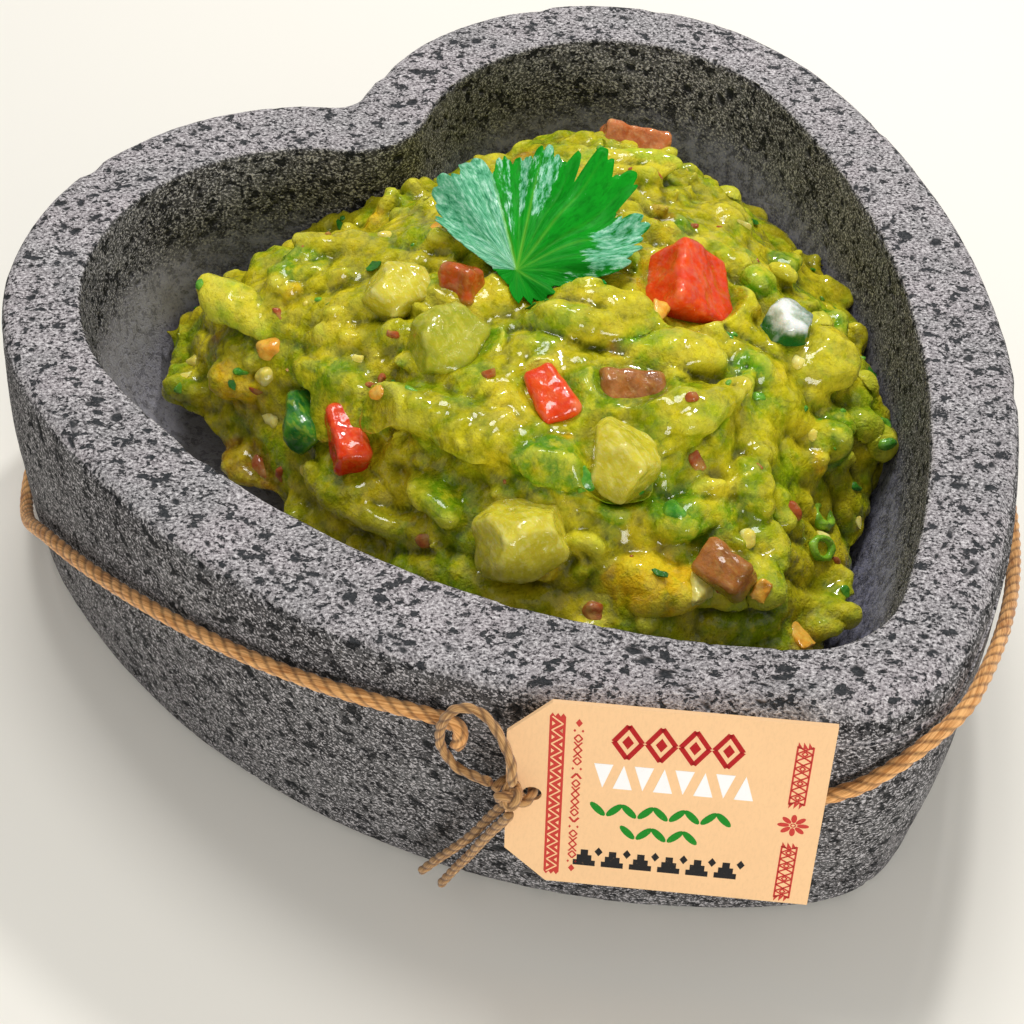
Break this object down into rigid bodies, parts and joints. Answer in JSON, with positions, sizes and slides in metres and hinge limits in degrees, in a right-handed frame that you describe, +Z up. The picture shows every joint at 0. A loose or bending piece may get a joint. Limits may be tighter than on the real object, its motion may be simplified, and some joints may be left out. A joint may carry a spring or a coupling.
{
  "type": "bowl of guacamole",
  "caption": "Chunky guacamole with diced tomato and a herb leaf, heaped in a heart-shaped mortar bowl of volcanic stone, with twine and a paper tag tied round it.",
  "frame": {"origin": "centre of the bowl's flat underside", "axes": "+Z up; +Y towards the notch between the heart's lobes, its tip points to -Y; +X to the right of someone who looks from the tip towards the notch"},
  "size_m": [0.2095, 0.2162, 0.0813],
  "materials": {
    "stone": "matte",
    "guacamole": "satin",
    "avocado": "satin",
    "tomato": "gloss",
    "onion": "gloss",
    "chilli": "gloss",
    "leaf": "satin",
    "twine": "matte",
    "string": "matte",
    "paper": "matte"
  },
  "bodies": {
    "root": {"bowl": "stone", "guacamole": "guacamole", "tomato_1": "tomato", "tomato_2": "tomato", "tomato_3": "tomato", "tomato_4": "tomato", "tomato_5": "tomato", "tomato_6": "tomato", "tomato_7": "tomato", "avocado_1": "avocado", "avocado_2": "avocado", "avocado_3": "avocado", "avocado_4": "avocado", "onion": "onion", "green_chilli": "chilli", "leaf": "leaf", "twine": "twine", "tag": "paper", "tie_knot": "string", "tie_turn": "string", "tie_loop": "string", "tie_tail_1": "string", "tie_tail_2": "string"}
  },
  "joints": []
}
